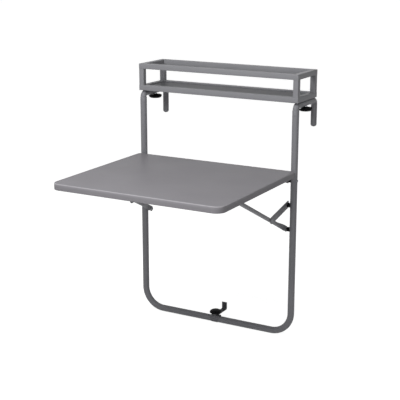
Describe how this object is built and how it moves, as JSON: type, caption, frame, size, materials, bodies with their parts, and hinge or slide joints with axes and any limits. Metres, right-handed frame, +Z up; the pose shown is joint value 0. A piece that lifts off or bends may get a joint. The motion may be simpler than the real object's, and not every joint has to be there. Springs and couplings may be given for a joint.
{
  "type": "balcony railing bar table",
  "caption": "Folding grey metal table that hangs on a balcony railing, with a U-shaped tube frame, hooks with screw feet, a planter shelf on top and a clamp below.",
  "frame": {"origin": "midway between the undersides of the two screw feet, where the table rests on the railing", "axes": "+Z up, -Y from the railing towards the person at the table, +X to the right as seen from that person"},
  "size_m": [0.729, 0.808, 1.0483],
  "materials": {
    "frame_paint": "fine satin powder coat",
    "shelf_paint": "fine satin powder coat",
    "table_paint": "satin powder coat",
    "black_paint": "black coated steel",
    "zinc_steel": "plain plated steel",
    "black_plastic": "moulded, slightly glossy"
  },
  "bodies": {
    "frame": {"u_frame": "frame_paint", "hook_left": "frame_paint", "hook_right": "frame_paint", "end_cap_left": "frame_paint", "end_cap_right": "frame_paint", "joint_screws": "zinc_steel", "shelf_base_frame": "shelf_paint", "shelf_posts": "shelf_paint", "shelf_top_frame": "shelf_paint", "shelf_floor": "shelf_paint", "shelf_screws": "zinc_steel", "foot_inserts": "zinc_steel", "hinge_bolts": "zinc_steel", "hinge_nuts": "zinc_steel", "hinge_spacers": "black_plastic", "link_spacers": "black_plastic", "seat_spacers": "black_plastic", "link_inserts": "zinc_steel", "seat_inserts": "zinc_steel", "link_pins": "zinc_steel", "seat_bolts": "zinc_steel", "clamp_saddle": "black_plastic", "clamp_insert": "zinc_steel"},
    "tabletop": {"tabletop_panel": "table_paint", "table_ribs": "table_paint", "hinge_bracket_left": "table_paint", "hinge_bracket_right": "table_paint", "strut_guide_left": "table_paint", "strut_guide_right": "table_paint"},
    "left_link": {"link_left": "frame_paint"},
    "right_link": {"link_right": "frame_paint"},
    "left_strut": {"strut_left": "frame_paint", "strut_glide_left": "black_plastic", "strut_rivet_left": "zinc_steel"},
    "right_strut": {"strut_right": "frame_paint", "strut_glide_right": "black_plastic", "strut_rivet_right": "zinc_steel"},
    "left_pad": {"foot_pad_left": "black_plastic"},
    "right_pad": {"foot_pad_right": "black_plastic"},
    "left_foot": {"foot_knob_left": "black_plastic", "foot_stud_left": "zinc_steel"},
    "right_foot": {"foot_knob_right": "black_plastic", "foot_stud_right": "zinc_steel"},
    "clamp_bar": {"clamp_hook": "black_paint"},
    "clamp_ring": {"clamp_washer": "zinc_steel"},
    "clamp_grip": {"clamp_knob": "black_plastic", "clamp_stud": "zinc_steel"}
  },
  "joints": [
    {"name": "tabletop_fold", "type": "hinge", "parent": "frame", "child": "tabletop", "pos_m": [0, -0.091, -0.2565], "axis": [1, 0, 0], "range_deg": [0, 86]},
    {"name": "left_link_swing", "type": "hinge", "parent": "frame", "child": "left_link", "pos_m": [-0.3125, -0.091, -0.3555], "axis": [1, 0, 0], "range_deg": [0, 61.21]},
    {"name": "left_strut_turn", "type": "hinge", "parent": "left_link", "child": "left_strut", "pos_m": [-0.30195, -0.23001, -0.38349], "axis": [1, 0, 0], "range_deg": [0, 51.21]},
    {"name": "left_foot_lift", "type": "slide", "parent": "frame", "child": "left_pad", "axis": [0, 0, -1], "range_m": [0, 0.015]},
    {"name": "left_foot_turn", "type": "hinge", "parent": "left_pad", "child": "left_foot", "pos_m": [-0.3375, 0, 0.0035], "axis": [0, 0, 1], "range_deg": [0, 3601]},
    {"name": "right_link_swing", "type": "hinge", "parent": "frame", "child": "right_link", "pos_m": [0.3125, -0.091, -0.3555], "axis": [1, 0, 0], "range_deg": [0, 61.21]},
    {"name": "right_strut_turn", "type": "hinge", "parent": "right_link", "child": "right_strut", "pos_m": [0.30195, -0.23001, -0.38349], "axis": [1, 0, 0], "range_deg": [0, 51.21]},
    {"name": "right_foot_lift", "type": "slide", "parent": "frame", "child": "right_pad", "axis": [0, 0, -1], "range_m": [0, 0.015]},
    {"name": "right_foot_turn", "type": "hinge", "parent": "right_pad", "child": "right_foot", "pos_m": [0.3375, 0, 0.0035], "axis": [0, 0, 1], "range_deg": [0, 3601]},
    {"name": "clamp_bar_swivel", "type": "hinge", "parent": "frame", "child": "clamp_bar", "pos_m": [0, -0.091, -0.8675], "axis": [0, 0, 1], "range_deg": [-90, 90]},
    {"name": "clamp_lift", "type": "slide", "parent": "frame", "child": "clamp_ring", "axis": [0, 0, 1], "range_m": [0, 0.005]},
    {"name": "clamp_turn", "type": "hinge", "parent": "clamp_ring", "child": "clamp_grip", "pos_m": [0, -0.091, -0.8565], "axis": [0, 0, 1], "range_deg": [0, 1441]}
  ],
  "couplings": [
    {"joint": "left_link_swing", "follows": "tabletop_fold", "ratio": 0.71159},
    {"joint": "left_strut_turn", "follows": "tabletop_fold", "ratio": 0.59538},
    {"joint": "left_foot_turn", "follows": "left_foot_lift", "rad_per_m": 4188.8},
    {"joint": "right_link_swing", "follows": "tabletop_fold", "ratio": 0.71159},
    {"joint": "right_strut_turn", "follows": "tabletop_fold", "ratio": 0.59538},
    {"joint": "right_foot_turn", "follows": "right_foot_lift", "rad_per_m": 4188.8},
    {"joint": "clamp_turn", "follows": "clamp_lift", "rad_per_m": 5026.5}
  ]
}
